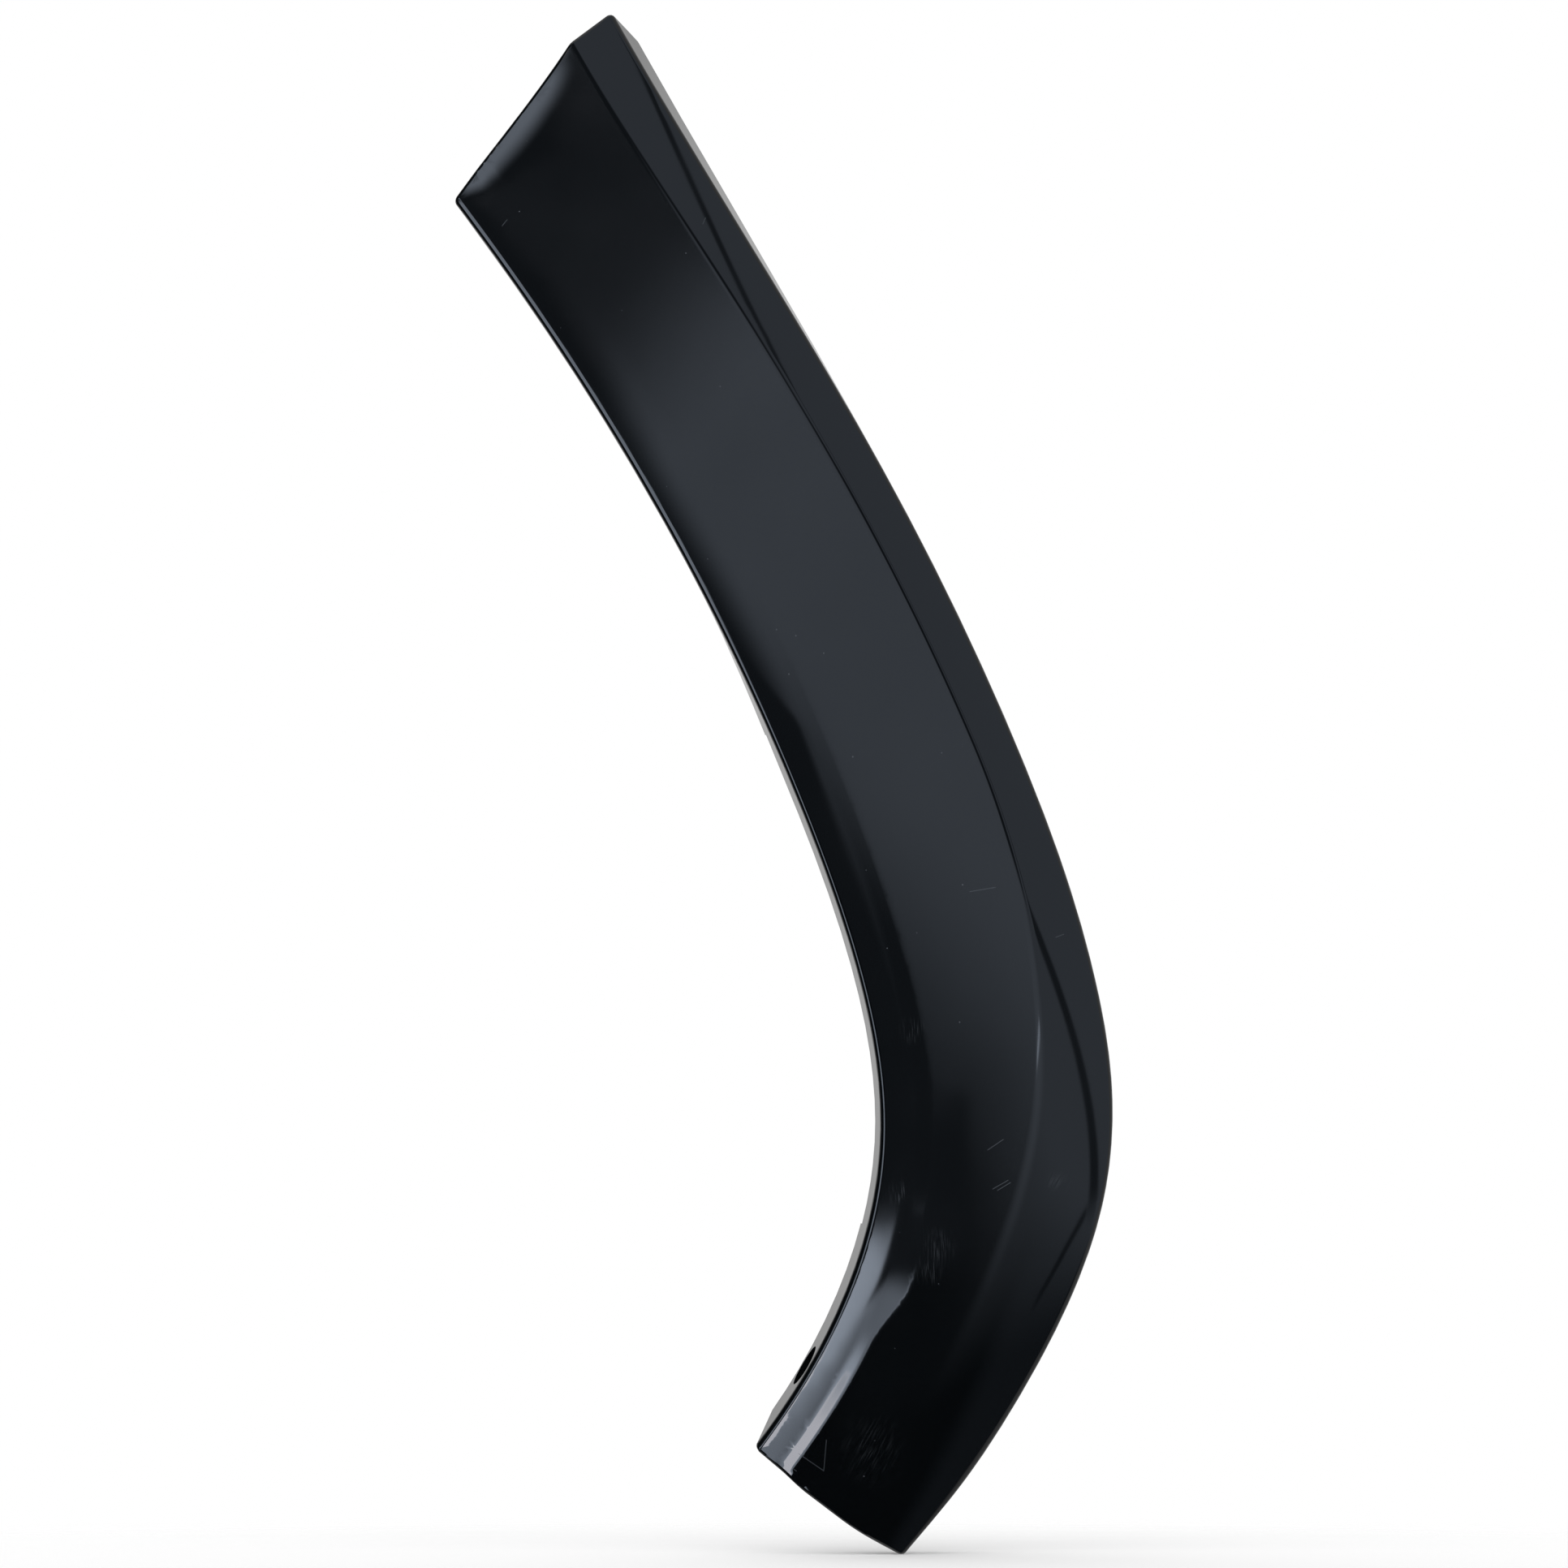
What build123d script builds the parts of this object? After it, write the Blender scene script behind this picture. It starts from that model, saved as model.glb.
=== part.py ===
from build123d import *
import os
from math import radians, tan

# Wheel arch trim: one hollow gloss black moulding that edges the rear half of a wheel opening.
# Sizes are in mm. As fixed on the vehicle, +Z is up, -Y is outboard and +X points away from the wheel.
# The origin is the seat of the middle clip tower, and heights are measured outboard from that seat.

# Side view (X, Z) of the two edges of the show face, from the top end to the lower end.
# The points are taken in pairs, and places says how far along the trim each pair lies.
places = [0, 0.16, 0.34, 0.52, 0.64, 0.74, 0.85, 1]
wheel_edge = [
    (-154.9, 201.5), (-106.9, 136.0), (-62.7, 61.6), (-26.9, -17.0),
    (-10.4, -69.7), (-6.5, -110.8), (-16.4, -154.3), (-50.5, -210.9),
]
body_edge = [
    (-91.9, 241.9), (-51.0, 173.3), (-3.2, 92.3), (37.4, 7.2),
    (58.3, -54.5), (64.5, -113.0), (43.6, -175.3), (-5.0, -244.0),
]

# Show face across the trim, as values at the top, the middle and the lower end.
# From the wheel-side edge it climbs over a facet, a roll and the main face to the crease,
# and a bevel falls from the crease to the body-side edge.
edge_heights = (11.6, 14.8, 13.7)
facet_rises = (1.5, 1.5, 1.1)
roll_rises = (2.2, 2.2, 2.4)
crease_rises = (5.4, 5.3, 2.8)
bevel_drops = (4.6, 6.2, 2.8)
facet_width = 11.8
roll_width = 7.0
bevel_width = 13.0
bevel_top_gain = 2.3
bevel_shoulder_gain = 10.0
bevel_low_loss = 7.0

# Where along the trim each of these changes starts and ends.
bevel_top_span = (0, 0.25)
bevel_shoulder_span = (0.48, 0.76)
bevel_low_span = (0.78, 1)
crease_soft_span = (0.55, 0.85)
wheel_splay_span = (0.36, 0.52)
body_splay_span = (-0.1, 0.38)

# Towards the top end the face turns down about the crease: by this slope where the trim starts,
# fading out over the given share of its length.
top_fall = 0.153
top_fall_span = 0.075

# Roundings of the show face. A reach is how far a rounding runs back from its corner.
edge_radius = 2.3
facet_reach = 1.2
roll_reach = 3.0
crease_reach = 1.2
crease_softening = 4.8

# Side walls: thickness, how far the rim lies inboard of the clip seats, and how far the walls splay at the rim.
wall = 2.6
rim_depth = 3.0
wheel_splay = 2.0
body_splay = 3.6

# Raked ends, each a plane through two points of the show face's end edge.
top_end = [(-138.6, 179.3), (-89.4, 237.7)]
low_end = [(-45.8, -204.5), (0.8, -238.6)]
top_end_place = 0.05
low_end_place = 0.97
end_rake = 35.0
end_edge_radius = 1.0

# Clip towers on the back: a box with a seat plate that is slotted from the body side.
clip_seats = [(-86.0, 166.0), (-42.0, 92.0), (0.0, 0.0), (27.5, -88.0), (9.0, -174.0)]
tower_length = 22.0
tower_width = 18.0
tower_wall = 1.8
seat_thickness = 2.0
slot_width = 6.4
window_width = 13.0
window_height = 5.0

# Cross ribs, a pair between neighbouring towers.
rib_thickness = 1.4
rib_setback = 4.0

# Fixing hole in the wheel-side wall, and the stretch where that wall's rim is relieved for the liner.
hole_radius = 6.7
hole_place = 0.917
hole_height = 4.9
relief_depth = 3.0
relief_from = 0.475
relief_to = 0.815

# Tool lengths: how far a cutter passes the surface it leaves by, how far the walls run past the rim
# before it is trimmed level, and a length well beyond the trim's depth.
overcut = 1.0
skirt = 8.0
beyond = 3 * (max(edge_heights) + max(crease_rises))
section_count = 17


def swell(t, top, middle, low):
    """A value that runs smoothly along the trim through its three given sizes."""
    return top * (1 - t) * (1 - 2 * t) + middle * 4 * t * (1 - t) + low * t * (2 * t - 1)


def ease(t, start, end):
    """A smooth step from 0 at start to 1 at end."""
    u = min(max((t - start) / (end - start), 0), 1)
    return u * u * (3 - 2 * u)


def guide(points):
    return Edge.make_spline([(x, 0, z) for x, z in points], parameters=places)


wheel_guide = guide(wheel_edge)
body_guide = guide(body_edge)
outboard = Vector(0, -1, 0)


def edge_height(t):
    return swell(t, *edge_heights)


def wheel_lean(t):
    """Slope of the wheel-side wall: its splay over its depth."""
    return wheel_splay * ease(t, *wheel_splay_span) / (edge_height(t) + rim_depth)


def blend_radius(before, corner, after, reach):
    """Radius of a rounding that starts the given reach from its corner."""
    turn = (Vector(*corner) - Vector(*before)).get_angle(Vector(*after) - Vector(*corner))
    return reach / tan(radians(turn) / 2)


def corners(t, inset):
    """Plane of the section at one place along the trim, and the section's corners before they are rounded."""
    start = wheel_guide.position_at(t)
    across = body_guide.position_at(t) - start
    width = across.length
    edge = edge_height(t)
    crease = edge + swell(t, *crease_rises)
    outer = crease - swell(t, *bevel_drops)
    bevel = bevel_width + bevel_top_gain * (1 - ease(t, *bevel_top_span))
    bevel += bevel_shoulder_gain * ease(t, *bevel_shoulder_span)
    bevel -= bevel_low_loss * ease(t, *bevel_low_span)
    body_lean = body_splay * (1 - ease(t, *body_splay_span)) / (outer + rim_depth)
    base = -rim_depth - skirt
    fall = top_fall * max(1 - t / top_fall_span, 0) ** 2
    roll_end = facet_width + roll_width
    crease_at = width - bevel
    points = [
        (inset - wheel_lean(t) * (edge - base), base),
        (inset - wheel_lean(t) * inset, edge - fall * crease_at - inset),
        (facet_width, edge + swell(t, *facet_rises) - fall * (crease_at - facet_width) - inset),
        (roll_end, edge + swell(t, *roll_rises) - fall * (crease_at - roll_end) - inset),
        (crease_at, crease - inset),
        (width - inset + body_lean * inset, outer - inset),
        (width - inset + body_lean * (outer - base), base),
    ]
    return Plane(origin=start, x_dir=across, z_dir=across.cross(outboard)), points


def section(t, inset):
    """Section of the trim at one place, or of its hollow when inset is the wall thickness."""
    plane, points = corners(t, inset)
    reaches = [facet_reach, roll_reach, crease_reach + crease_softening * ease(t, *crease_soft_span)]
    blends = [blend_radius(*points[k + 1:k + 4], reaches[k]) for k in range(3)]
    outline = FilletPolyline(*points, radius=[edge_radius, *blends, edge_radius])
    if inset:
        outline = Polyline(*points)
    closing = Line(outline @ 1, outline @ 0)
    return plane * make_face(Curve() + [outline, closing])


def end_plane(end, place, inset):
    """Raked plane of one end, moved into the trim by inset."""
    start, stop = [Vector(x, -edge_height(place), z) for x, z in end]
    level = (stop - start).cross(outboard).normalized()
    if level.Z * start.Z < 0:
        level = -level
    normal = (level - outboard * tan(radians(end_rake))).normalized()
    return Plane(origin=start - normal * inset, x_dir=stop - start, z_dir=normal)


def strip(inset):
    """The trim without its hollow, or the hollow itself when inset is the wall thickness."""
    step = 1 / (section_count - 1)
    stations = [k * step for k in range(section_count)] + [step / 2, 3 * step / 2]
    shape = loft([section(t, inset) for t in sorted(stations)])
    for end, place in [(top_end, top_end_place), (low_end, low_end_place)]:
        shape = split(shape, bisect_by=end_plane(end, place, inset), keep=Keep.BOTTOM)
    return shape


def rounded_end(shape, end, place):
    """Round the show face's edge at one raked end."""
    normal = end_plane(end, place, 0).z_dir
    flats = [f for f in shape.faces() if f.geom_type == GeomType.PLANE]
    face = max(flats, key=lambda f: f.normal_at().dot(normal))
    return fillet([e for e in face.edges() if max((e @ 0).Y, (e @ 1).Y) < 0], end_edge_radius)


def on_back(seat, along):
    """Plane on the clip seats' level, with X along the trim and Z pointing inboard."""
    return Plane(origin=(seat[0], 0, seat[1]), x_dir=(along[0], 0, along[1]), z_dir=(0, 1, 0))


def clip_tower():
    """Hollow tower under a seat at the origin, open towards the face and slotted on its -Y side."""
    under = (Align.CENTER, Align.CENTER, Align.MAX)
    aside = (Align.CENTER, Align.MAX, Align.MAX)
    tower = Box(tower_length, tower_width, beyond, align=under)
    room = Box(tower_length - 2 * tower_wall, tower_width - 2 * tower_wall, beyond, align=under)
    window = Box(window_width, tower_width, window_height, align=aside)
    slot = Box(slot_width, tower_width, 2 * seat_thickness, align=aside)
    slot_end = Cylinder(slot_width / 2, 2 * seat_thickness, align=under)
    tower -= Pos(0, 0, -seat_thickness) * room
    tower -= Pos(0, 0, -seat_thickness) * window
    return tower - Pos(0, 0, overcut) * slot - Pos(0, 0, overcut) * slot_end


def seat_runs():
    """Each seat with the direction of the trim there."""
    last = len(clip_seats) - 1
    for k, seat in enumerate(clip_seats):
        before = clip_seats[max(k - 1, 0)]
        after = clip_seats[min(k + 1, last)]
        yield seat, (after[0] - before[0], after[1] - before[1])


def ribs():
    rib = Box(rib_thickness, 2 * beyond, beyond, align=(Align.CENTER, Align.CENTER, Align.MAX))
    plates = []
    for (x0, z0), (x1, z1) in zip(clip_seats, clip_seats[1:]):
        for share in (1 / 3, 2 / 3):
            spot = (x0 + share * (x1 - x0), z0 + share * (z1 - z0))
            plates.append(on_back(spot, (x1 - x0, z1 - z0)) * Pos(0, 0, -rib_setback) * rib)
    return plates


def hole_axis():
    """Axis of the fixing hole, square to the wheel-side wall and pointing to the wheel."""
    edge_point = wheel_guide.position_at(hole_place)
    square = wheel_guide.tangent_at(hole_place).cross(outboard).normalized()
    if square.dot(body_guide.position_at(hole_place) - edge_point) > 0:
        square = -square
    lean = wheel_lean(hole_place)
    splay = lean * (edge_height(hole_place) - hole_height)
    return Plane(origin=edge_point + square * splay + outboard * hole_height, z_dir=square + outboard * lean)


def relief():
    """Cutter that lowers the rim of the wheel-side wall between its two relief places."""
    sides = []
    for side in (-2 * wall, 2 * wall):
        points = []
        for k in range(section_count):
            t = relief_from + (relief_to - relief_from) * k / (section_count - 1)
            start = wheel_guide.position_at(t)
            points.append(start + (body_guide.position_at(t) - start).normalized() * side)
        sides.append(Spline(*points))
    outer, inner = sides
    lines = [outer, Line(outer @ 1, inner @ 1), inner, Line(inner @ 0, outer @ 0)]
    level = Pos(0, rim_depth - relief_depth, 0) * make_face(Curve() + lines)
    return extrude(level, relief_depth + overcut, dir=(0, 1, 0))


body = strip(0)
body = rounded_end(body, top_end, top_end_place)
body = rounded_end(body, low_end, low_end_place)
body = split(body, bisect_by=Plane(origin=(0, rim_depth, 0), z_dir=(0, 1, 0)), keep=Keep.BOTTOM)
tower = clip_tower()
hollow = strip(wall)
hollow -= [on_back(seat, along) * tower for seat, along in seat_runs()]
hollow -= ribs()
trim = body - hollow
trim -= hole_axis() * Cylinder(hole_radius, 4 * wall)
trim -= relief()

os.makedirs("parts", exist_ok=True)
export_step(trim, "parts/wheel_arch_trim.step")
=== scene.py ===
# %% [markdown]
# # A gloss black wheel arch trim
#
# The part is one hollow moulding that edges one half of a car's wheel opening.
# Its shape comes ready made from the CAD model. This lesson gives it the finish of a
# polished moulding, sets up a small studio round it and points a camera at it.

# %% Load the frame
from math import radians, tan

import bpy
import numpy as np
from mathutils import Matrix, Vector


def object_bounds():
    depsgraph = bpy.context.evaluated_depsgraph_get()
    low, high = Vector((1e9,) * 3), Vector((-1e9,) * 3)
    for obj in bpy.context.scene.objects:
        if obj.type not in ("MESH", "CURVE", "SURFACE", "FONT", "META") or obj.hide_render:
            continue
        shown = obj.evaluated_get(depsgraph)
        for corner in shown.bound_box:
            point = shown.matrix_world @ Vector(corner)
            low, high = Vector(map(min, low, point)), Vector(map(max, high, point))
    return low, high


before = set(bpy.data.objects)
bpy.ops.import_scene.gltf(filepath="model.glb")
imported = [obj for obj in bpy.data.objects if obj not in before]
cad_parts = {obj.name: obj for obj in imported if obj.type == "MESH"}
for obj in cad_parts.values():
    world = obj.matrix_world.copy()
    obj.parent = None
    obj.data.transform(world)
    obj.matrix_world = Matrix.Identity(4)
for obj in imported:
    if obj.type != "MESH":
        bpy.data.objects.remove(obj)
cad_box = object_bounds()
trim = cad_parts["wheel_arch_trim"]
scene = bpy.context.scene
scene.view_settings.view_transform = "Standard"
print("CAD box, in metres:", [[round(v, 4) for v in corner] for corner in cad_box])

# %% [markdown]
# ## Colours and nodes
#
# A hex colour is written as the eye sees it, while a shader works with linear light.
# One function turns the first into the second. Another adds a node with its settings
# and its links, so that each node tree below reads as a short list.


# %% Helpers
def linear(hex_colour):
    """An sRGB hex colour as linear RGBA."""
    parts = [int(hex_colour[k:k + 2], 16) / 255 for k in (1, 3, 5)]
    return [p / 12.92 if p <= 0.04045 else ((p + 0.055) / 1.055) ** 2.4 for p in parts] + [1.0]


def node(tree, kind, settings=None, **inputs):
    """Add a node. An input is a value or the socket that feeds it; _0 names the first socket."""
    made = tree.nodes.new(kind)
    for name, value in (settings or {}).items():
        setattr(made, name, value)
    for name, value in inputs.items():
        socket = made.inputs[int(name[1:]) if name[0] == "_" else name.replace("_", " ")]
        if isinstance(value, bpy.types.NodeSocket):
            tree.links.new(value, socket)
        else:
            socket.default_value = value
    return made


def new_material(name):
    material = bpy.data.materials.new(name)
    material.use_nodes = True
    material.node_tree.nodes.clear()
    return material, material.node_tree


# %% [markdown]
# ## Camera
#
# The photograph looks straight at the show face from far away, so the camera stands
# 4 m off with a long lens. Its frame is 483 mm wide where the part is.

# %% Camera
frame_width = 0.483
camera_distance = 4.0
camera_data = bpy.data.cameras.new("camera")
camera_data.sensor_width = 36.0
camera_data.lens = camera_data.sensor_width * camera_distance / frame_width
camera = bpy.data.objects.new("camera", camera_data)
camera.location = (-0.036, -camera_distance, 0.0)
camera.rotation_euler = (radians(90), 0, 0)
scene.collection.objects.link(camera)
scene.camera = camera
print("lens, mm:", round(camera_data.lens, 1))

# %% [markdown]
# ## Two edges
#
# The CAD mesh is made of flat triangles, and gloss black shows every one of them. The
# shape behind it follows a rule: a section that changes slowly along two edge curves.
# Following the same rule with a much finer step gives a guide surface. It stays hidden,
# and only tells the CAD mesh which way its surface really faces.

# %% Edge curves
# Side view (X, Z) in mm from the top end to the lower end. Points are paired by places.
places = np.array([0, 0.16, 0.34, 0.52, 0.64, 0.74, 0.85, 1])
wheel_edge = [
    (-154.9, 201.5), (-106.9, 136.0), (-62.7, 61.6), (-26.9, -17.0),
    (-10.4, -69.7), (-6.5, -110.8), (-16.4, -154.3), (-50.5, -210.9),
]
body_edge = [
    (-91.9, 241.9), (-51.0, 173.3), (-3.2, 92.3), (37.4, 7.2),
    (58.3, -54.5), (64.5, -113.0), (43.6, -175.3), (-5.0, -244.0),
]


def along(points, shares):
    """Places at the given shares of the length of a smooth curve through the points."""
    p = np.array(points)
    last = len(p) - 1
    gap = np.diff(places)[:, None]
    rise = np.diff(p, axis=0) / gap
    rows = np.eye(last + 1)
    sums = np.zeros(p.shape)
    for k in range(1, last):
        rows[k, k - 1:k + 2] = 1 / gap[k - 1, 0], 2 / gap[k - 1, 0] + 2 / gap[k, 0], 1 / gap[k, 0]
        sums[k] = 3 * (rise[k - 1] / gap[k - 1] + rise[k] / gap[k])
    for end, near in ((0, slice(0, 4)), (last, slice(last - 3, last + 1))):
        sums[end] = np.polyfit(places[near] - places[end], p[near], 3)[2]
    slope = np.linalg.solve(rows, sums)
    fine = np.linspace(0, 1, 4001)
    k = np.clip(np.searchsorted(places, fine, "right") - 1, 0, last - 1)
    u = (fine - places[k])[:, None] / gap[k]
    path = (1 + 2 * u) * (1 - u) ** 2 * p[k] + u * (1 - u) ** 2 * gap[k] * slope[k]
    path += u * u * (3 - 2 * u) * p[k + 1] + u * u * (u - 1) * gap[k] * slope[k + 1]
    length = np.append(0, np.cumsum(np.linalg.norm(np.diff(path, axis=0), axis=1)))
    return np.stack([np.interp(shares * length[-1], length, path[:, axis]) for axis in (0, 1)], axis=1)


# %% [markdown]
# ## The section
#
# From the wheel side the section climbs a wall, then a narrow facet, a roll and the main
# face up to the crease, and a bevel and a second wall take it down again. Most sizes
# change slowly from the top end to the lower end. Two small functions make such changes.


# %% Slow changes
def swell(t, top, middle, low):
    """A value that runs smoothly along the trim through its three given sizes."""
    return top * (1 - t) * (1 - 2 * t) + middle * 4 * t * (1 - t) + low * t * (2 * t - 1)


def ease(t, start, end):
    """A smooth step from 0 at start to 1 at end."""
    u = min(max((t - start) / (end - start), 0), 1)
    return u * u * (3 - 2 * u)


# %% [markdown]
# ## Corners of the section
#
# The section is first drawn with sharp corners. Heights are measured from the clip seats,
# and t runs from 0 at the top end to 1 at the lower end. At the top end the whole face
# falls away from the crease. Complex numbers keep this short: turning a direction is one
# product.

# %% Corners
# Sizes in mm. Where there are three, they stand at the top, the middle and the lower end.
edge_heights = 11.6, 14.8, 13.7
facet_rises = 1.5, 1.5, 1.1
roll_rises = 2.2, 2.2, 2.4
crease_rises = 5.4, 5.3, 2.8
bevel_drops = 4.6, 6.2, 2.8
facet_width = 11.8
roll_width = 7.0
bevel_width = 13.0
bevel_more_at_top = 2.3
bevel_more_at_shoulder = 10.0
bevel_less_at_low_end = 7.0
wheel_splay = 2.0
body_splay = 3.6
rim_depth = 3.0
# The slope of the fall at the top end, and the share of the length it takes to fade out.
top_fall = 0.153
top_fall_span = 0.075


def corners_of(t, width):
    """Corners of the section, from the rim on the wheel side to the rim on the body side."""
    edge = swell(t, *edge_heights)
    crease = edge + swell(t, *crease_rises)
    outer = crease - swell(t, *bevel_drops)
    bevel = bevel_width + bevel_more_at_top * (1 - ease(t, 0, 0.25))
    bevel += bevel_more_at_shoulder * ease(t, 0.48, 0.76) - bevel_less_at_low_end * ease(t, 0.78, 1)
    ridge = width - bevel
    fall = top_fall * max(1 - t / top_fall_span, 0) ** 2
    roll_end = facet_width + roll_width
    facet_top = edge + swell(t, *facet_rises) - fall * (ridge - facet_width)
    roll_top = edge + swell(t, *roll_rises) - fall * (ridge - roll_end)
    return np.array([
        complex(-wheel_splay * ease(t, 0.36, 0.52), -rim_depth),
        complex(0, edge - fall * ridge),
        complex(facet_width, facet_top),
        complex(roll_end, roll_top),
        complex(ridge, crease),
        complex(width, outer),
        complex(width + body_splay * (1 - ease(t, -0.1, 0.38)), -rim_depth),
    ])


# %% [markdown]
# ## Round corners and crowned faces
#
# Each corner is a round arc. A moulded face is never dead flat, so the facet and the
# bevel are crowned by a few degrees, and the roll ends more crisply than a plain arc.
# Crown and crisp end are given to the way the section runs, not to its points: they
# show in reflections alone, and the shape stays that of the CAD model.

# %% Outline
crowns = np.radians([0, 1.5, 0, 0, 4.0, 0])
edge_radius = 2.3
# How far from its corner an arc starts, in mm.
facet_reach = 1.2
roll_reach = 3.0
crease_reach = 1.2
crease_softening = 4.8
end_of_roll = 2
crispness = 6
# Steps along each flat, and round the arc that follows it.
flat_and_arc_steps = [(4, 12), (4, 6), (4, 24), (12, 10), (6, 12)]


def outline(t, width):
    """Points round the section, and the way the section runs at each."""
    corners = corners_of(t, width)
    ways = np.diff(corners) / abs(np.diff(corners))
    turns = np.angle(ways[1:] / ways[:-1])
    reaches = abs(edge_radius * np.tan(turns / 2))
    reaches[1:4] = facet_reach, roll_reach, crease_reach + crease_softening * ease(t, 0.55, 0.85)
    points, runs = [], []
    here = corners[0]
    for k, (flat_steps, arc_steps) in enumerate(flat_and_arc_steps):
        stop = corners[k + 1] - ways[k] * reaches[k]
        points.append(here + (stop - here) * np.linspace(0, 1, flat_steps, endpoint=False))
        runs.append(ways[k] * np.exp(1j * crowns[k] * np.linspace(1, -1, flat_steps, endpoint=False)))
        share = np.linspace(0, 1, arc_steps, endpoint=False)
        arc = ways[k] * np.exp(1j * turns[k] * share)
        points.append(stop + 1j * reaches[k] / tan(turns[k] / 2) * (ways[k] - arc))
        bend = 1 - (1 - share) ** crispness if k == end_of_roll else share
        run = ways[k] * np.exp(1j * turns[k] * bend)
        runs.append(run * np.exp(1j * (crowns[k + 1] * share - crowns[k] * (1 - share))))
        here = corners[k + 1] + ways[k + 1] * reaches[k]
    points.append(here + (corners[6] - here) * np.linspace(0, 1, 5))
    runs.append(np.full(5, ways[5]))
    return np.concatenate(points), np.concatenate(runs)


# %% [markdown]
# ## The roll near the lower end
#
# A little above the lower end the roll of the real trim lies flush with the facet. From
# there on, facet and roll draw in towards the edge. Both are again a matter of the way
# the section runs: its slopes are levelled past the facet, then read off further along.

# %% Lower end
edge_strip = 3.0
near_width = 30.0
facet_end = 10.6
squeeze = 0.38


def drawn_in(t, points, runs):
    """The runs of a section, with facet and roll changed where it lies near the lower end."""
    near = (points.real > edge_strip) & (points.real < near_width)
    steps = points.real[near]
    angles = np.angle(runs[near])
    flush = ease(t, 0.77, 0.81) * (1 - ease(t, 0.87, 0.93))
    excess = np.maximum(angles - np.interp(facet_end, steps, angles), 0)
    angles -= flush * excess * (steps > facet_end)
    seen_at = steps + squeeze * ease(t, 0.84, 0.885) * (steps - edge_strip)
    changed = runs.copy()
    changed[near] = np.exp(1j * np.interp(seen_at, steps, angles))
    return changed


# %% [markdown]
# ## The guide surface
#
# The sections are set up along the two edges, and at each point the way across and the
# way along the trim give the direction that the surface faces.

# %% Guide surface
shares = np.linspace(0, 1, 401)
wheel, body = along(wheel_edge, shares), along(body_edge, shares)
widths = np.linalg.norm(body - wheel, axis=1)
across = (body - wheel) / widths[:, None]
spots, ways = [], []
for t, start, width, (ax, az) in zip(shares, wheel, widths, across):
    points, runs = outline(t, width)
    runs = drawn_in(t, points, runs)
    spots.append(np.stack([start[0] + ax * points.real, -points.imag, start[1] + az * points.real], axis=1))
    ways.append(np.stack([ax * runs.real, -runs.imag, az * runs.real], axis=1))
spots = np.array(spots)
facing = np.cross(np.gradient(spots, axis=0), np.array(ways))
facing /= np.linalg.norm(facing, axis=2)[..., None]
print("trim width, mm:", round(widths.min(), 1), "to", round(widths.max(), 1))

# %% [markdown]
# ## The guide's ends and mesh
#
# Near the two raked ends the CAD has its own rounding, so the guide stops short of them.
# What is left becomes a mesh that stores the facing at each of its points.

# %% Guide mesh
# Where each end plane cuts the show face: two points (X, Z) and their height, in mm.
end_edges = [
    ((-138.6, 179.3), (-89.4, 237.7), 12.1),
    ((-45.8, -204.5), (0.8, -238.6), 13.8),
]
end_rake = radians(35)
end_margin = 1.3
kept = np.ones(spots.shape[:2], bool)
for (x0, z0), (x1, z1), height in end_edges:
    level = np.array([z0 - z1, 0, x1 - x0]) * np.sign((x1 - x0) * z0)
    normal = level / np.linalg.norm(level) + np.array([0, tan(end_rake), 0])
    depth = (spots - np.array([x0, -height, z0])) @ (normal / np.linalg.norm(normal))
    kept &= depth < -end_margin

count, row = spots.shape[:2]
faces = []
for i in range(count - 1):
    for j in range(row - 1):
        if kept[i:i + 2, j:j + 2].all():
            a = i * row + j
            faces.append((a, a + 1, a + row + 1, a + row))
mesh = bpy.data.meshes.new("guide")
mesh.from_pydata(spots.reshape(-1, 3) / 1000, [], faces)
mesh.attributes.new("facing", "FLOAT_VECTOR", "POINT").data.foreach_set("vector", facing.ravel())
guide = bpy.data.objects.new("guide", mesh)
guide.hide_render = True
scene.collection.objects.link(guide)
print("guide faces:", len(faces))

# %% [markdown]
# ## Smooth facing for the CAD mesh
#
# A small geometry node modifier divides the faces on the show side more finely, without
# moving them, and looks up the nearest point of the guide. Where the two lie together and
# face about the same way, the mesh takes the guide's facing. Everywhere else, such as in
# the hollow back, it keeps its own, which is noted down before anything is divided.

# %% Facing modifier
# The Y of a facing that counts as the show side, a distance in metres, and a cosine.
show_side = -0.6
together = 0.0003
about_alike = 0.85
tree = bpy.data.node_groups.new("smooth_facing", "GeometryNodeTree")
tree.interface.new_socket("Mesh", in_out="INPUT", socket_type="NodeSocketGeometry")
tree.interface.new_socket("Mesh", in_out="OUTPUT", socket_type="NodeSocketGeometry")
given = node(tree, "NodeGroupInput")
own = node(tree, "GeometryNodeInputNormal")
remembered = node(
    tree, "GeometryNodeStoreNamedAttribute", {"data_type": "FLOAT_VECTOR", "domain": "CORNER"},
    Geometry=given.outputs[0], Name="own_facing", Value=own.outputs["Normal"],
)
own_facing = node(tree, "GeometryNodeInputNamedAttribute", {"data_type": "FLOAT_VECTOR"}, Name="own_facing")
own_parts = node(tree, "ShaderNodeSeparateXYZ", Vector=own.outputs["True Normal"])
ahead = node(tree, "ShaderNodeMath", {"operation": "LESS_THAN"}, _0=own_parts.outputs["Y"], _1=show_side)
parted = node(
    tree, "GeometryNodeSeparateGeometry", {"domain": "FACE"},
    Geometry=remembered.outputs[0], Selection=ahead.outputs[0],
)
show_face = node(tree, "GeometryNodeSubdivideMesh", Mesh=parted.outputs["Selection"], Level=2)
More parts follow.
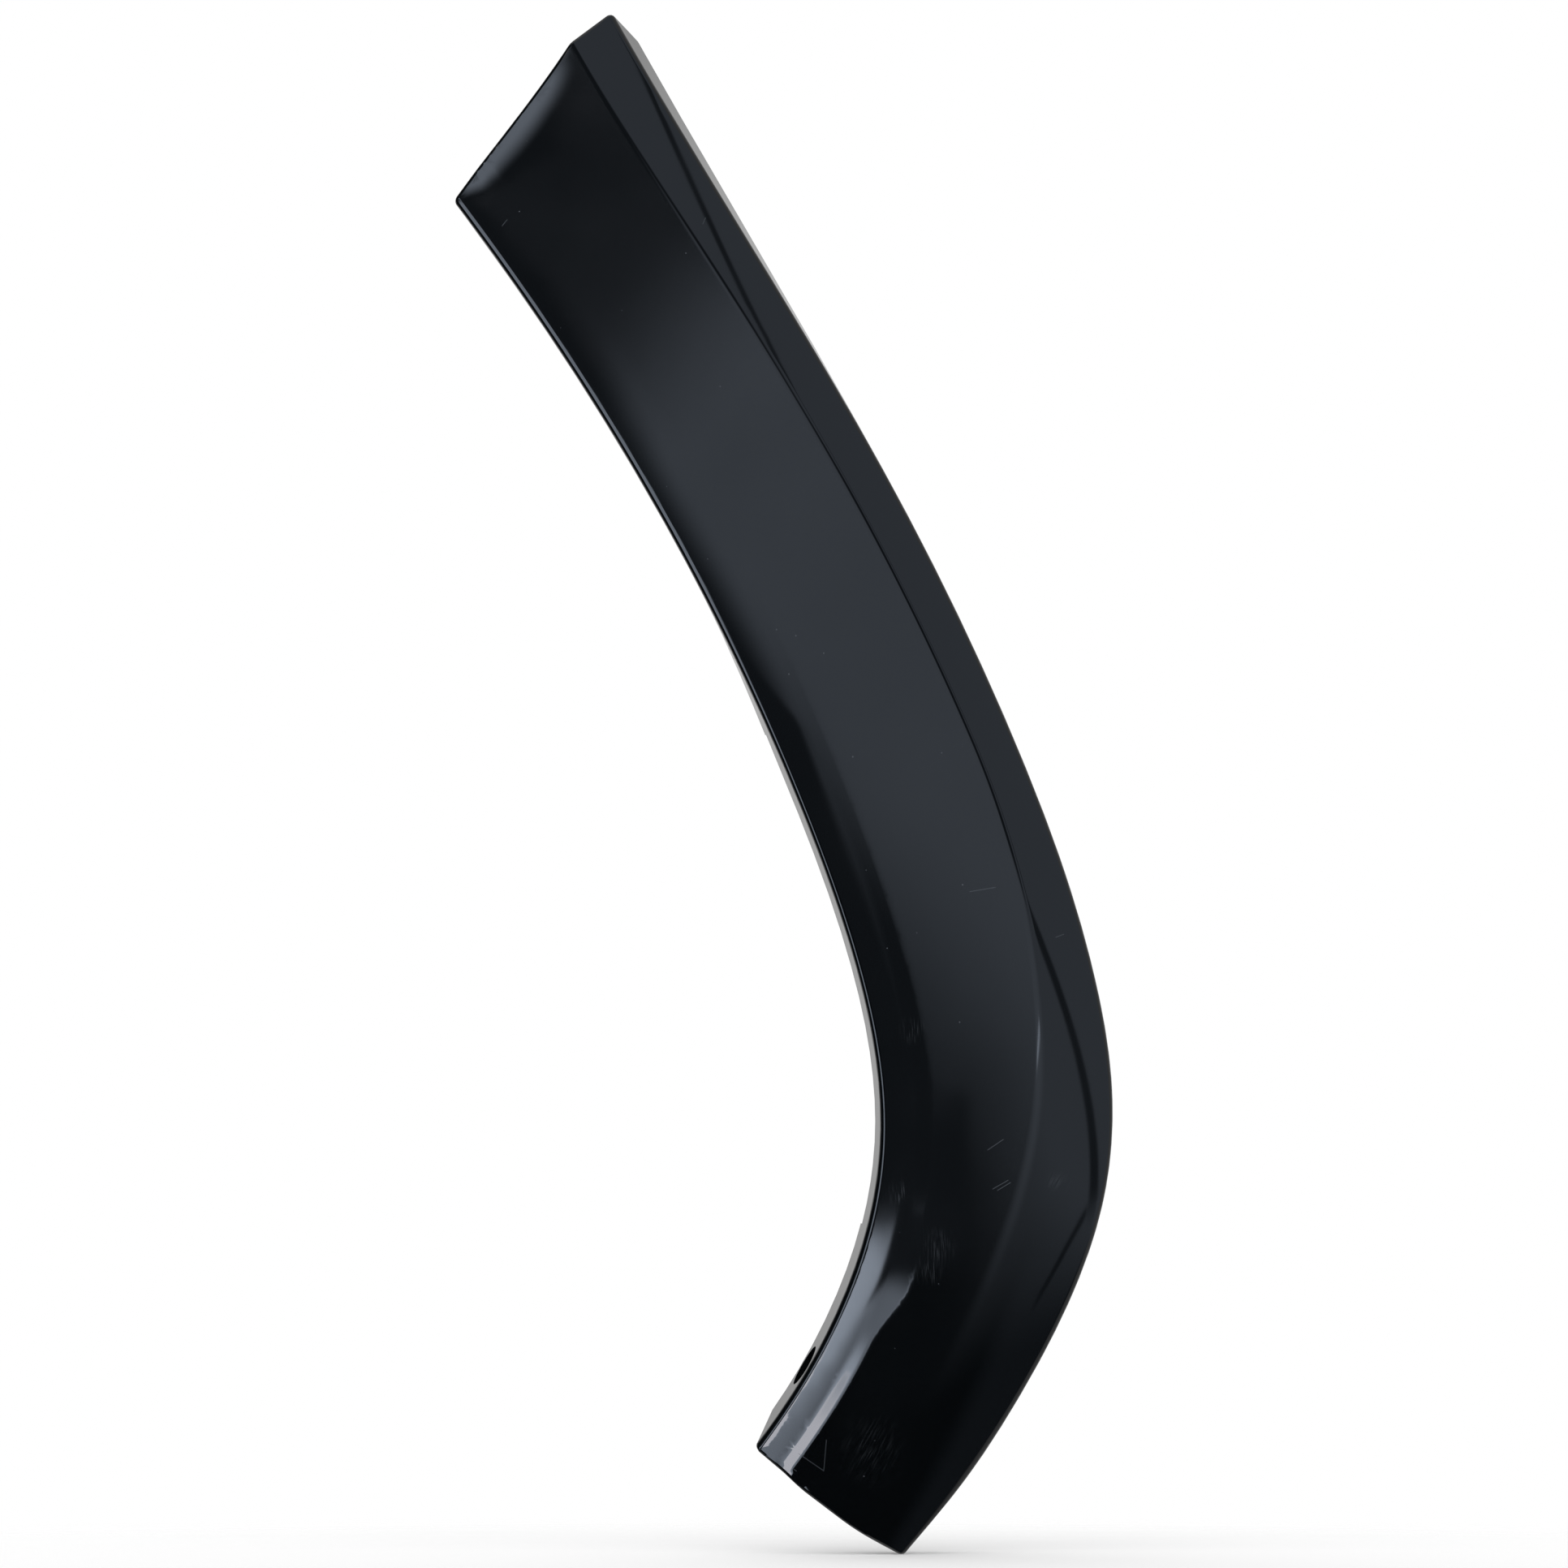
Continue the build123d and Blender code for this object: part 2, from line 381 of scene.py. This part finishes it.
# Joining takes all meshes through one socket, so the second one is linked by hand.
finer = node(tree, "GeometryNodeJoinGeometry", _0=parted.outputs["Inverted"])
tree.links.new(show_face.outputs[0], finer.inputs[0])
source = node(tree, "GeometryNodeObjectInfo", Object=guide)
stored = node(tree, "GeometryNodeInputNamedAttribute", {"data_type": "FLOAT_VECTOR"}, Name="facing")
nearest = node(
    tree, "GeometryNodeSampleNearestSurface", {"data_type": "FLOAT_VECTOR"},
    Mesh=source.outputs["Geometry"], Value=stored.outputs["Attribute"],
)
distance = node(tree, "GeometryNodeProximity", {"target_element": "FACES"}, _0=source.outputs["Geometry"])
close = node(
    tree, "ShaderNodeMath", {"operation": "LESS_THAN"},
    _0=distance.outputs["Distance"], _1=together,
)
agreement = node(
    tree, "ShaderNodeVectorMath", {"operation": "DOT_PRODUCT"},
    _0=nearest.outputs["Value"], _1=own.outputs["True Normal"],
)
alike = node(
    tree, "ShaderNodeMath", {"operation": "GREATER_THAN"},
    _0=agreement.outputs["Value"], _1=about_alike,
)
both = node(tree, "ShaderNodeMath", {"operation": "MULTIPLY"}, _0=close.outputs[0], _1=alike.outputs[0])
chosen = node(
    tree, "GeometryNodeSwitch", {"input_type": "VECTOR"},
    Switch=both.outputs[0], _1=own_facing.outputs["Attribute"], _2=nearest.outputs["Value"],
)
turned = node(
    tree, "GeometryNodeSetMeshNormal", {"mode": "FREE", "domain": "CORNER"},
    Mesh=finer.outputs[0], Custom_Normal=chosen.outputs[0],
)
node(tree, "NodeGroupOutput", _0=turned.outputs[0])
trim.modifiers.new("smooth_facing", "NODES").node_group = tree
print("facing nodes:", len(tree.nodes))

# %% [markdown]
# ## Moulded gloss black ABS
#
# Black ABS out of a polished mould has hardly any colour of its own. What the eye sees
# is the clear reflection of the room, about 4 % straight on and far more at a grazing
# angle. The plastic shrank a little unevenly as it cooled, so a very low bump 14 mm from
# wave to wave bends the reflections by a fraction of a degree. A handled surface is also
# a touch duller in some places than in others.

# %% Surface of the plastic
gloss, tree = new_material("moulded_gloss_black_ABS")
place = node(tree, "ShaderNodeTexCoord")
mm = node(tree, "ShaderNodeVectorMath", {"operation": "SCALE"}, _0=place.outputs["Object"], Scale=1000.0)
wave_length = 14.0
wave_height = 0.000008
waves = node(tree, "ShaderNodeTexNoise", Vector=mm.outputs[0], Scale=1 / wave_length, Detail=1.0)
wavy = node(tree, "ShaderNodeBump", Height=waves.outputs[0], Distance=wave_height, Strength=1.0)
haze_length = 45.0
haze = node(tree, "ShaderNodeTexNoise", Vector=mm.outputs[0], Scale=1 / haze_length, Detail=3.0)
dull = node(
    tree, "ShaderNodeMapRange",
    Value=haze.outputs[0], From_Min=0.35, From_Max=0.7, To_Min=0.03, To_Max=0.07,
)

# %% [markdown]
# ## Scratches
#
# The part has been handled, and a few scratches stand where the photograph shows them.
# Each is a straight stroke on the show face, given by its two ends in side view. The
# distance of a point to that stroke decides how scratched it is there.

# %% Scratches
strokes = [
    ((-31.5, -205.5), (-23.8, -210.7)), ((-23.8, -210.7), (-23.0, -201.3)),
    ((-33.0, -210.3), (-32.2, -210.8)), ((26.5, -112.2), (31.2, -109.0)),
    ((28.0, -124.2), (32.7, -121.5)), ((29.5, -124.6), (33.4, -122.2)),
    ((21.0, -33.0), (28.7, -31.7)), ((47.4, -47.0), (49.8, -46.1)),
    ((-122.5, 171.4), (-121.0, 173.2)), ((-60.9, 171.8), (-60.1, 173.7)),
]
stroke_width = 0.2
stroke_strength = 0.22
flat = node(tree, "ShaderNodeVectorMath", {"operation": "MULTIPLY"}, _0=mm.outputs[0], _1=(1.0, 0.0, 1.0))
scratched = 0.0
for (x0, z0), (x1, z1) in strokes:
    way = np.array([x1 - x0, 0, z1 - z0])
    reach = node(
        tree, "ShaderNodeVectorMath", {"operation": "SUBTRACT"},
        _0=flat.outputs[0], _1=(x0, 0, z0),
    )
    share = node(
        tree, "ShaderNodeVectorMath", {"operation": "DOT_PRODUCT"},
        _0=reach.outputs[0], _1=way / (way @ way),
    )
    held = node(tree, "ShaderNodeClamp", Value=share.outputs["Value"])
    nearest = node(tree, "ShaderNodeVectorMath", {"operation": "SCALE"}, _0=way, Scale=held.outputs[0])
    apart = node(
        tree, "ShaderNodeVectorMath", {"operation": "DISTANCE"},
        _0=reach.outputs[0], _1=nearest.outputs[0],
    )
    line = node(
        tree, "ShaderNodeMapRange",
        Value=apart.outputs["Value"], From_Max=stroke_width, To_Min=stroke_strength, To_Max=0.0,
    )
    most = node(tree, "ShaderNodeMath", {"operation": "MAXIMUM"}, _0=scratched, _1=line.outputs[0])
    scratched = most.outputs[0]
print("scratches:", len(strokes))

# %% [markdown]
# ## Scuffs and wipe marks
#
# In a few spots the shine is broken by many fine hairlines that run one way: short scuffs
# on the lower half, and wipe marks near the lower end. A noise pattern drawn out along
# the hairlines makes them. Real ones are finer than the picture can show, so these are
# drawn about a third of a millimetre wide.

# %% Scuffs
# Middle of each spot, its radius, the way its hairlines lean from upright, and how plain they are.
spots_worn = [
    ((3.5, -75.5), 5.5, 4, 0.2), ((-1.0, -125.5), 4.5, 4, 0.2), ((11.5, -141.5), 7.0, 2, 0.22),
    ((8.5, -149.0), 6.0, 2, 0.18), ((-9.0, -204.0), 15.0, -30, 0.1), ((48.0, -122.0), 5.0, -30, 0.14),
]
hair_width = 0.35
hair_length = 7.0
for (x, z), radius, lean, plain in spots_worn:
    turned = node(
        tree, "ShaderNodeVectorRotate", {"rotation_type": "Y_AXIS"},
        Vector=flat.outputs[0], Center=(x, 0, z), Angle=radians(lean),
    )
    drawn = node(
        tree, "ShaderNodeVectorMath", {"operation": "MULTIPLY"},
        _0=turned.outputs[0], _1=(1 / hair_width, 0.0, 1 / hair_length),
    )
    hairs = node(tree, "ShaderNodeTexNoise", Vector=drawn.outputs[0], Scale=1.0, Detail=1.0)
    lines = node(
        tree, "ShaderNodeMapRange",
        Value=hairs.outputs[0], From_Min=0.52, From_Max=0.75, To_Max=plain,
    )
    away = node(tree, "ShaderNodeVectorMath", {"operation": "DISTANCE"}, _0=flat.outputs[0], _1=(x, 0, z))
    spot = node(
        tree, "ShaderNodeMapRange", {"interpolation_type": "SMOOTHSTEP"},
        Value=away.outputs["Value"], From_Max=radius, To_Min=1.0, To_Max=0.0,
    )
    scuff = node(tree, "ShaderNodeMath", {"operation": "MULTIPLY"}, _0=lines.outputs[0], _1=spot.outputs[0])
    most = node(tree, "ShaderNodeMath", {"operation": "MAXIMUM"}, _0=scratched, _1=scuff.outputs[0])
    scratched = most.outputs[0]
print("scuffed spots:", len(spots_worn))

# %% [markdown]
# ## Dust, and the finished plastic
#
# A black part always carries a few pale specks of dust, which here fade out a quarter of
# a millimetre from their middle. Scratches and scuffs belong to the show face only, so the
# way a point faces switches them off elsewhere. Where the plastic is worn it turns paler
# and loses its shine.

# %% Finished plastic
speck_gap = 7.0
speck_radius = 0.25
specks = node(tree, "ShaderNodeTexVoronoi", Vector=mm.outputs[0], Scale=1 / speck_gap)
dust = node(
    tree, "ShaderNodeMapRange",
    Value=specks.outputs["Distance"], From_Max=speck_radius / speck_gap, To_Min=0.7, To_Max=0.0,
)
surface = node(tree, "ShaderNodeNewGeometry")
facing_parts = node(tree, "ShaderNodeSeparateXYZ", Vector=surface.outputs["True Normal"])
shown = node(tree, "ShaderNodeMath", {"operation": "LESS_THAN"}, _0=facing_parts.outputs["Y"], _1=-0.3)
marked = node(tree, "ShaderNodeMath", {"operation": "MULTIPLY"}, _0=scratched, _1=shown.outputs[0])
worn = node(tree, "ShaderNodeMath", {"operation": "MAXIMUM"}, _0=marked.outputs[0], _1=dust.outputs[0])
colour = node(
    tree, "ShaderNodeMix", {"data_type": "RGBA"},
    _0=worn.outputs[0], _6=linear("#040608"), _7=linear("#6c727a"),
)
roughness = node(
    tree, "ShaderNodeMath", {"operation": "MULTIPLY_ADD"},
    _0=worn.outputs[0], _1=0.5, _2=dull.outputs[0],
)
shader = node(
    tree, "ShaderNodeBsdfPrincipled",
    Base_Color=colour.outputs[2], Roughness=roughness.outputs[0], IOR=1.53, Normal=wavy.outputs[0],
)
node(tree, "ShaderNodeOutputMaterial", Surface=shader.outputs["BSDF"])
trim.data.materials.clear()
trim.data.materials.append(gloss)
print("plastic nodes:", len(tree.nodes))

# %% [markdown]
# ## The room
#
# Gloss black shows the room more than itself. Ahead of the part the room is dark, far to
# the right it is an even grey, and it is bright overhead, underfoot and behind the part.
# A reflection is a glossy ray, so only those rays see this room. The light that falls on
# the part, and what the camera sees behind it, stay plain white.

# %% World
world = bpy.data.worlds.new("studio")
scene.world = world
world.use_nodes = True
tree = world.node_tree
tree.nodes.clear()
ray = node(tree, "ShaderNodeLightPath")
way = node(tree, "ShaderNodeTexCoord")
parts = node(tree, "ShaderNodeSeparateXYZ", Vector=way.outputs["Generated"])
smooth = {"interpolation_type": "SMOOTHSTEP"}
right = node(
    tree, "ShaderNodeMapRange", smooth,
    Value=parts.outputs["X"], From_Min=0.45, From_Max=0.8, To_Min=0.015, To_Max=0.5,
)
behind = node(
    tree, "ShaderNodeMapRange", smooth,
    Value=parts.outputs["Y"], From_Min=0.3, From_Max=0.8, To_Min=0.0, To_Max=0.62,
)
steep = node(tree, "ShaderNodeMath", {"operation": "ABSOLUTE"}, _0=parts.outputs["Z"])
ends = node(
    tree, "ShaderNodeMapRange", smooth,
    Value=steep.outputs[0], From_Min=0.55, From_Max=0.85, To_Min=0.0, To_Max=0.8,
)
sides = node(tree, "ShaderNodeMath", {"operation": "MAXIMUM"}, _0=right.outputs[0], _1=behind.outputs[0])
room = node(tree, "ShaderNodeMath", {"operation": "MAXIMUM"}, _0=sides.outputs[0], _1=ends.outputs[0])
seen = node(tree, "ShaderNodeMix", _0=ray.outputs["Is Glossy Ray"], A=1.0, B=room.outputs[0])
sky = node(tree, "ShaderNodeBackground", Color=linear("#ffffff"), Strength=seen.outputs[0])
node(tree, "ShaderNodeOutputWorld", Surface=sky.outputs[0])

# %% [markdown]
# ## Soft boxes
#
# Each soft box is an upright sheet of cloth that glows towards the part and fades to its
# rim. The first five stand 3 m in front of the part and the others half a metre, placed
# so that their glow falls where the photograph shows it. One is a narrow tube lamp, and
# the dark ones keep light off, as a photographer's black cloths do. All are seen in
# reflections alone: they light nothing else.


# %% A soft box
hung = []
cloth_gap = 0.0005


def soft_box(name, middle, size, turn, rim, brightness, colour="#dfecff", distance=0.5):
    """A glowing sheet at (X, Z), turned on its middle by degrees. Later ones hang before earlier ones."""
    (x, z), (width, height) = middle, size
    material, tree = new_material(name)
    place = node(tree, "ShaderNodeTexCoord")
    sides = node(tree, "ShaderNodeVectorMath", {"operation": "ABSOLUTE"}, _0=place.outputs["Object"])
    axes = node(tree, "ShaderNodeSeparateXYZ", Vector=sides.outputs[0])
    inside = 1.0
    for axis, half, fade in (("X", width / 2, rim[0]), ("Z", height / 2, rim[1])):
        clear_of_rim = node(
            tree, "ShaderNodeMapRange", smooth,
            Value=axes.outputs[axis], From_Min=half - fade, From_Max=half, To_Min=1.0, To_Max=0.0,
        )
        both = node(tree, "ShaderNodeMath", {"operation": "MULTIPLY"}, _0=inside, _1=clear_of_rim.outputs[0])
        inside = both.outputs[0]
    glow = node(tree, "ShaderNodeEmission", Color=linear(colour), Strength=brightness)
    open_air = node(tree, "ShaderNodeBsdfTransparent")
    cloth = node(tree, "ShaderNodeMixShader", _0=inside, _1=open_air.outputs[0], _2=glow.outputs[0])
    node(tree, "ShaderNodeOutputMaterial", Surface=cloth.outputs[0])
    w, h = width / 2, height / 2
    mesh = bpy.data.meshes.new(name)
    mesh.from_pydata([(-w, 0, -h), (-w, 0, h), (w, 0, h), (w, 0, -h)], [], [(0, 1, 2, 3)])
    mesh.materials.append(material)
    sheet = bpy.data.objects.new(name, mesh)
    sheet.location = (x, cloth_gap * len(hung) - distance, z)
    sheet.rotation_euler = (0, -radians(turn), 0)
    sheet.visible_camera = False
    sheet.visible_diffuse = False
    sheet.visible_shadow = False
    scene.collection.objects.link(sheet)
    hung.append(name)


# %% [markdown]
# ## Hanging the cloths
#
# A reflection on a curved face is hard to guess, so each place was worked out backwards:
# from the camera to the spot on the face, and from there along the mirrored ray. A
# cloth's row gives its middle and size in metres, its turn in degrees, the width of its
# fading rim across and upwards, and its brightness. Some name a colour or a distance too.

# %% Soft boxes
soft_box("soft_box_faint", (-0.735, -0.24), (0.73, 0.5), 0, (0.02, 0.05), 0.1, distance=3.0)
soft_box("soft_box_low", (-0.576, 0.036), (0.45, 0.359), -15.5, (0.03, 0.026), 6.6, distance=3.0)
soft_box("soft_box_roll", (-0.885, 0.144), (0.36, 0.222), -33, (0.03, 0.02), 5.4, distance=3.0)
soft_box("soft_box_core", (-0.853, 0.160), (0.395, 0.161), -33, (0.02, 0.02), 9.5, "#f4f5ff", distance=3.0)
soft_box("half_lit_cloth", (-0.498, 0.013), (0.37, 0.295), -38.1, (0.03, 0.045), 2.6, distance=3.0)
soft_box("dark_wall", (-0.44, 0.298), (1.12, 0.806), 0, (0.03, 0.012), 0.1)
soft_box("soft_box_dim", (0.65, -0.40), (1.1, 0.4), 0, (0.1, 0.05), 0.1)
soft_box("soft_box_above", (0.35, 0.65), (0.8, 0.7), 0, (0.05, 0.05), 0.66)
soft_box("soft_box_right", (1.009, 0.290), (1.76, 1.625), -18, (0.09, 0.14), 0.66)
soft_box("soft_box_middle", (0.0, 0.0475), (0.39, 0.36), -41.5, (0.06, 0.09), 0.95)
soft_box("soft_box_left", (-0.781, -0.220), (1.2, 0.24), 31, (0.03, 0.03), 3.4)
soft_box("soft_box_high", (-0.3024, 0.32), (0.104, 0.26), 6, (0.04, 0.05), 2.8)
soft_box("tube_lamp", (0.036, -0.100), (0.075, 0.010), 13.8, (0.02, 0.004), 4.0)
soft_box("dark_flag", (-0.0685, -0.134), (0.061, 0.046), 0, (0.008, 0.006), 0.1)
soft_box("dark_panel", (-0.168, -0.055), (0.098, 0.086), 0, (0.02, 0.008), 0.1)
soft_box("dark_curtain", (0.161, 0.115), (0.17, 0.28), 0, (0.03, 0.03), 0.1)
soft_box("dark_stand", (0.341, 0.18), (0.05, 0.86), 3.2, (0.015, 0.05), 0.14)
soft_box("dark_foot", (0.287, -0.247), (0.14, 0.016), 23.8, (0.02, 0.005), 0.1)
print("soft boxes:", len(hung))

# %% [markdown]
# ## Floor
#
# A plain white floor carries the part and takes its shadow. It fades out towards its rim,
# so that no edge shows against the white backdrop. Reflections leave it out, or the gloss
# would mirror it as a white patch.

# %% Floor
bpy.ops.mesh.primitive_plane_add(size=1, location=(-0.036, -0.06, cad_box[0][2]))
floor = bpy.context.object
floor.name = "floor"
floor.scale = (0.9, 0.5, 1)
fade_start = 0.2
fade_end = 0.5
pale, tree = new_material("matt_white_floor")
matt = node(tree, "ShaderNodeBsdfDiffuse", Color=linear("#ffffff"))
open_air = node(tree, "ShaderNodeBsdfTransparent")
place = node(tree, "ShaderNodeTexCoord")
from_middle = node(tree, "ShaderNodeVectorMath", {"operation": "LENGTH"}, _0=place.outputs["Object"])
fading = node(
    tree, "ShaderNodeMapRange", smooth,
    Value=from_middle.outputs["Value"], From_Min=fade_start, From_Max=fade_end,
)
faded = node(
    tree, "ShaderNodeMixShader",
    _0=fading.outputs[0], _1=matt.outputs[0], _2=open_air.outputs[0],
)
node(tree, "ShaderNodeOutputMaterial", Surface=faded.outputs[0])
floor.data.materials.append(pale)
floor.visible_glossy = False
print("floor at Z, in metres:", round(cad_box[0][2], 4))
